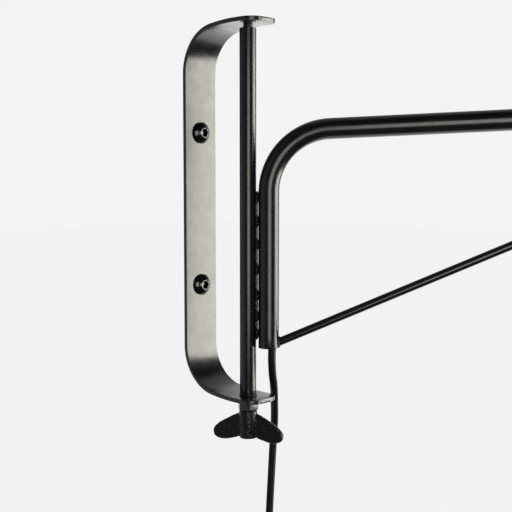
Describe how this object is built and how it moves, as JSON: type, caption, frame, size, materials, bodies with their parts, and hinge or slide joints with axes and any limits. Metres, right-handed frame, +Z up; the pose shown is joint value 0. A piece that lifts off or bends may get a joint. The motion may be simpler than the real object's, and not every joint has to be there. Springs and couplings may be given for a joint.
{
  "type": "swing arm wall lamp",
  "caption": "Wall lamp with a braced tube arm that swings in a C-shaped strip steel bracket, clamped by a wing nut, with a bare bulb and a hanging lead.",
  "frame": {"origin": "on the wall face, at the back of the bracket strip, midway between its two legs", "axes": "+X out of the wall, +Y sideways along the wall, +Z up along the pivot"},
  "size_m": [0.6637, 0.4835, 0.7578],
  "materials": {
    "strip_black": "satin black on flat bar, faintly mottled",
    "satin_black": "satin black",
    "black_oxide": "glossy black oxide",
    "cast_black": "rough cast, painted black",
    "bronze": "dull, oiled",
    "rubber": "matt black",
    "flex": "satin black round cord",
    "plug_black": "satin black moulded",
    "nickel": "nickel plated",
    "porcelain": "glazed",
    "opal_glass": "opal white, smooth"
  },
  "bodies": {
    "wall_bracket": {"bracket_strip": "strip_black", "upper_wall_screw": "black_oxide", "lower_wall_screw": "black_oxide", "cord_drop": "flex", "cord_hank": "flex", "hank_tie": "rubber", "cord_tail": "flex", "plug_relief": "plug_black", "plug_body": "plug_black", "plug_pin_left": "nickel", "plug_pin_right": "nickel", "plug_earth_clip_left": "nickel", "plug_earth_clip_right": "nickel"},
    "swing_arm": {"pivot_tube": "satin_black", "thrust_washer": "bronze", "clamp_washer": "black_oxide", "upper_pivot_pin": "black_oxide", "lower_pivot_stud": "black_oxide", "hex_nut": "black_oxide", "arm_tube": "satin_black", "seam_spacer": "satin_black", "brace_rod": "satin_black", "brace_foot_weld": "satin_black", "brace_head_weld": "satin_black", "cord_grommet": "rubber", "arm_lead": "flex", "arm_end_plug": "satin_black", "holder_nipple": "nickel", "nipple_locknut": "black_oxide", "holder_cap": "satin_black", "holder_shell": "satin_black", "contact_block": "porcelain", "bulb_cap": "nickel", "bulb_glass": "opal_glass", "seam_weld_1": "satin_black", "seam_weld_2": "satin_black", "seam_weld_3": "satin_black", "seam_weld_4": "satin_black", "seam_weld_5": "satin_black", "seam_weld_6": "satin_black", "seam_weld_7": "satin_black"},
    "wing_nut": {"wing_nut": "cast_black"}
  },
  "joints": [
    {"name": "arm_swing", "type": "hinge", "parent": "wall_bracket", "child": "swing_arm", "pos_m": [0.07, 0, 0], "axis": [0, 0, 1], "range_deg": [-128, 52]},
    {"name": "wing_nut_turn", "type": "hinge", "parent": "swing_arm", "child": "wing_nut", "pos_m": [0.07, 0, 0], "axis": [0, 0, 1], "continuous": true}
  ]
}
